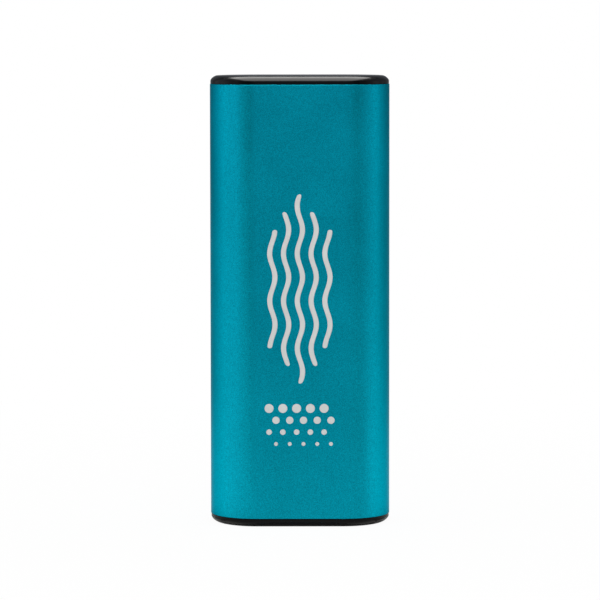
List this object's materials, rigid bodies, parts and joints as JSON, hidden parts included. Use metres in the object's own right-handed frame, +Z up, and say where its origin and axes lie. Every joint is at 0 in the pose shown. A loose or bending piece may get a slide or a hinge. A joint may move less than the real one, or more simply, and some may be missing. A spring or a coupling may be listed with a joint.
{
  "type": "rechargeable hand warmer",
  "caption": "Slim oval pocket hand warmer: teal aluminium sleeve closed by black end caps, with a power outlet, charging inlet, charge lights and push button in the base.",
  "frame": {"origin": "middle of the flat base face that it stands on", "axes": "+Z up along the sleeve, +X to the right across the broad face, the broad front faces -Y"},
  "size_m": [0.0382, 0.0232, 0.0952],
  "materials": {
    "teal_anodised": "bead-blasted, teal anodised",
    "black_moulded": "fine moulded texture",
    "grey_moulded": "as moulded",
    "zinc_steel": "zinc plated",
    "nickel": "nickel plated",
    "cell_wrap": "green shrink wrap over a filled metal can",
    "ring_paper": "fish paper",
    "bare_aluminium": "mill finish",
    "amber_film": "polyimide film",
    "white_foam": "closed-cell foam",
    "green_board": "solder mask on glass fibre",
    "black_epoxy": "moulded epoxy",
    "ferrite": "sintered",
    "white_insulator": "satin",
    "clear_pipe": "clear polished",
    "tan_ceramic": "fired ceramic",
    "gold_contact": "gold flash",
    "red_sleeving": "silicone sleeving",
    "white_sleeving": "silicone sleeving"
  },
  "bodies": {
    "housing": {"sleeve": "teal_anodised", "base_cap": "black_moulded", "top_cap": "black_moulded", "carrier_front": "grey_moulded", "carrier_rear": "grey_moulded", "carrier_screw_1": "zinc_steel", "carrier_screw_2": "zinc_steel", "carrier_screw_3": "zinc_steel", "carrier_screw_4": "zinc_steel", "top_foam": "white_foam", "battery_cell": "cell_wrap", "cell_insulator_ring": "ring_paper", "cell_positive_button": "nickel", "positive_tab": "nickel", "negative_tab": "nickel", "positive_lead": "red_sleeving", "heat_spreader_front": "bare_aluminium", "heat_spreader_rear": "bare_aluminium", "heater_film_front": "amber_film", "heater_film_rear": "amber_film", "insulation_pad_front": "white_foam", "insulation_pad_rear": "white_foam", "heater_lead_front_left": "white_sleeving", "heater_lead_front_right": "white_sleeving", "heater_lead_rear_left": "white_sleeving", "heater_lead_rear_right": "white_sleeving", "thermistor": "black_epoxy", "main_board": "green_board", "outlet_shell": "zinc_steel", "outlet_insulator": "white_insulator", "outlet_contact_1": "gold_contact", "outlet_contact_2": "gold_contact", "outlet_contact_3": "gold_contact", "outlet_contact_4": "gold_contact", "inlet_shell": "zinc_steel", "inlet_insulator": "black_epoxy", "switch_body": "black_epoxy", "switch_cover": "zinc_steel", "charge_light_1": "white_insulator", "charge_light_2": "white_insulator", "charge_light_3": "white_insulator", "charge_light_4": "white_insulator", "board_screw_1": "zinc_steel", "board_screw_2": "zinc_steel", "power_inductor": "ferrite", "output_capacitor": "tan_ceramic", "controller_chip": "black_epoxy", "charger_chip": "black_epoxy", "heater_transistor": "black_epoxy", "light_pipe": "clear_pipe"},
    "button": {"power_button": "black_moulded"},
    "plunger": {"switch_plunger": "black_epoxy"}
  },
  "joints": [
    {"name": "button_press", "type": "slide", "parent": "housing", "child": "button", "axis": [0, 0, 1], "range_m": [0, 0.0005], "stiffness_N_per_m": 3000},
    {"name": "plunger_press", "type": "slide", "parent": "housing", "child": "plunger", "axis": [0, 0, 1], "range_m": [0, 0.0003]}
  ],
  "couplings": [
    {"joint": "plunger_press", "follows": "button_press", "ratio": 0.6}
  ]
}
